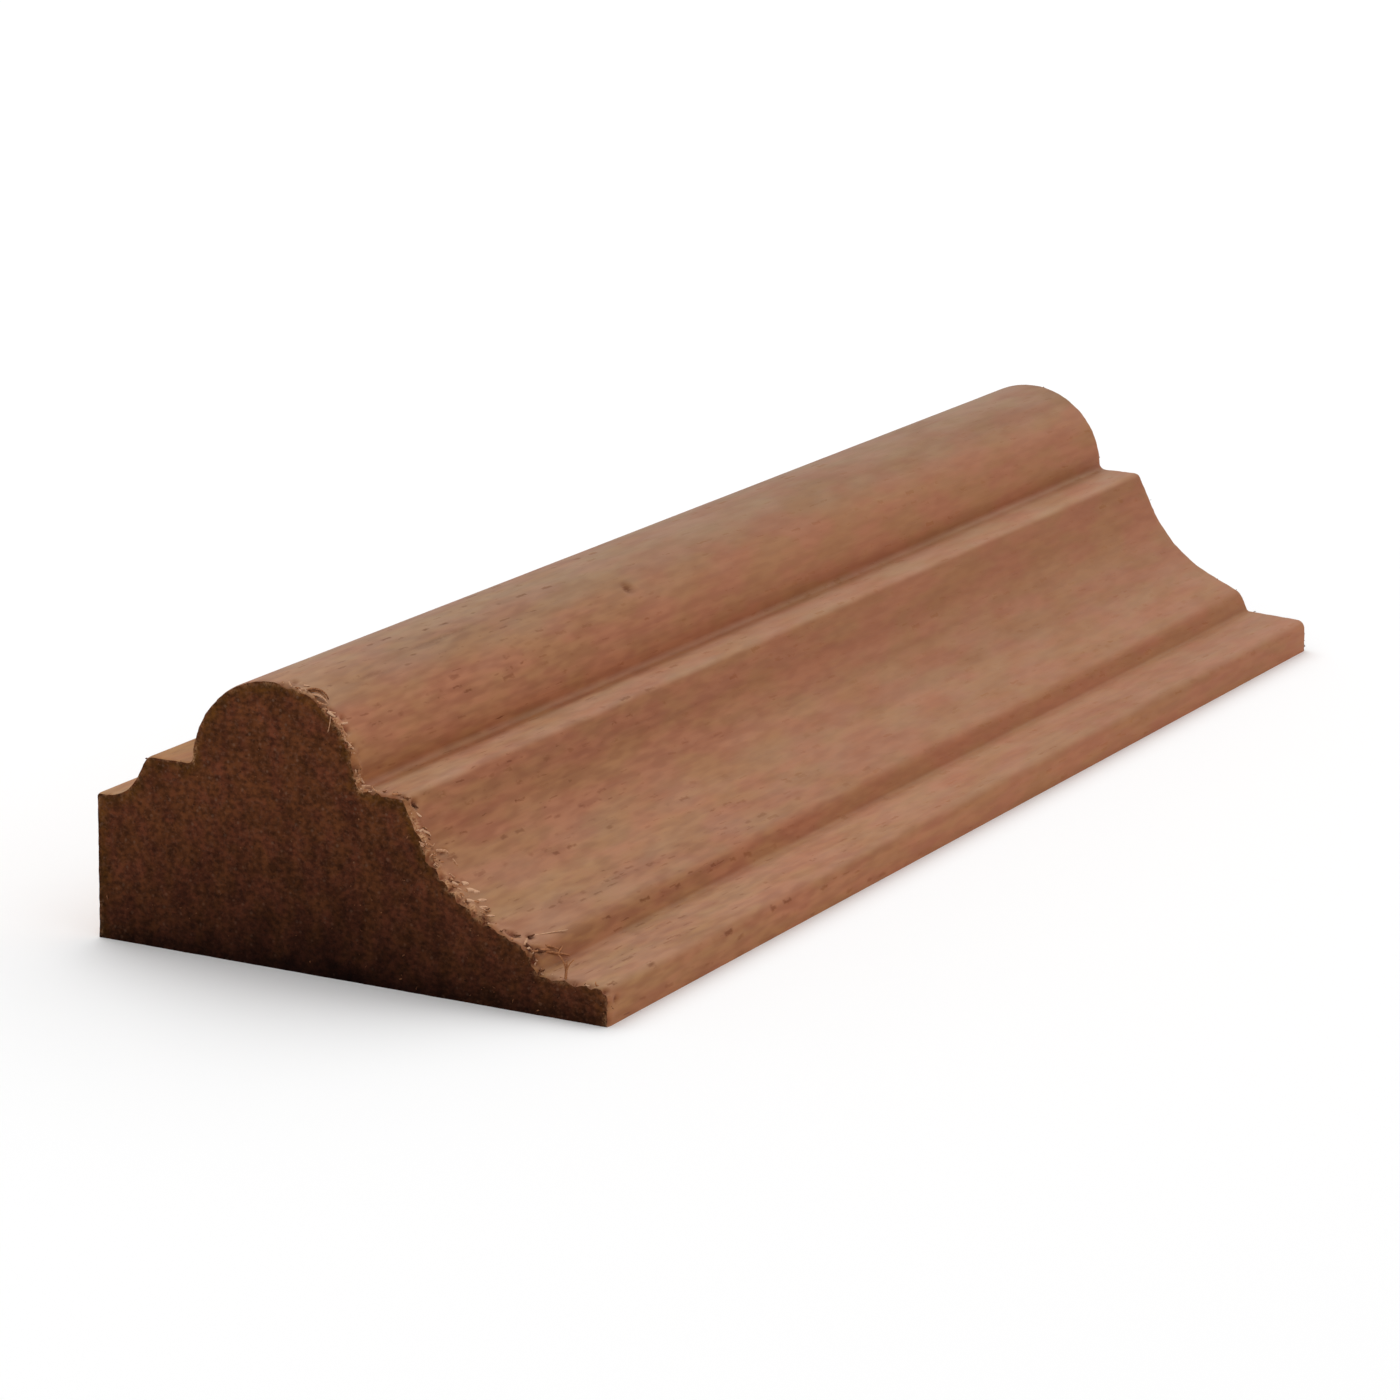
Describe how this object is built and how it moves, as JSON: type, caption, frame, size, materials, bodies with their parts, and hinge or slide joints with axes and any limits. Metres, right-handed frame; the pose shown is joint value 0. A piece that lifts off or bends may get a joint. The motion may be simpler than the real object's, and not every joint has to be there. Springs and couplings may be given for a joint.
{
  "type": "nose and cove moulding",
  "caption": "Short straight length of hardwood moulding with a half-round nose between two fillets and a broad cove falling to a thin stepped edge.",
  "frame": {"origin": "middle of the flat planed face that goes against the wall, which is the bottom face as it lies", "axes": "+X along the stick, +Y across the section from the thin edge to the thick edge, +Z out of the flat face towards the nose"},
  "size_m": [0.1524, 0.0508, 0.0254],
  "materials": {
    "hardwood": "matte"
  },
  "bodies": {
    "root": {"moulding": "hardwood"}
  },
  "joints": []
}
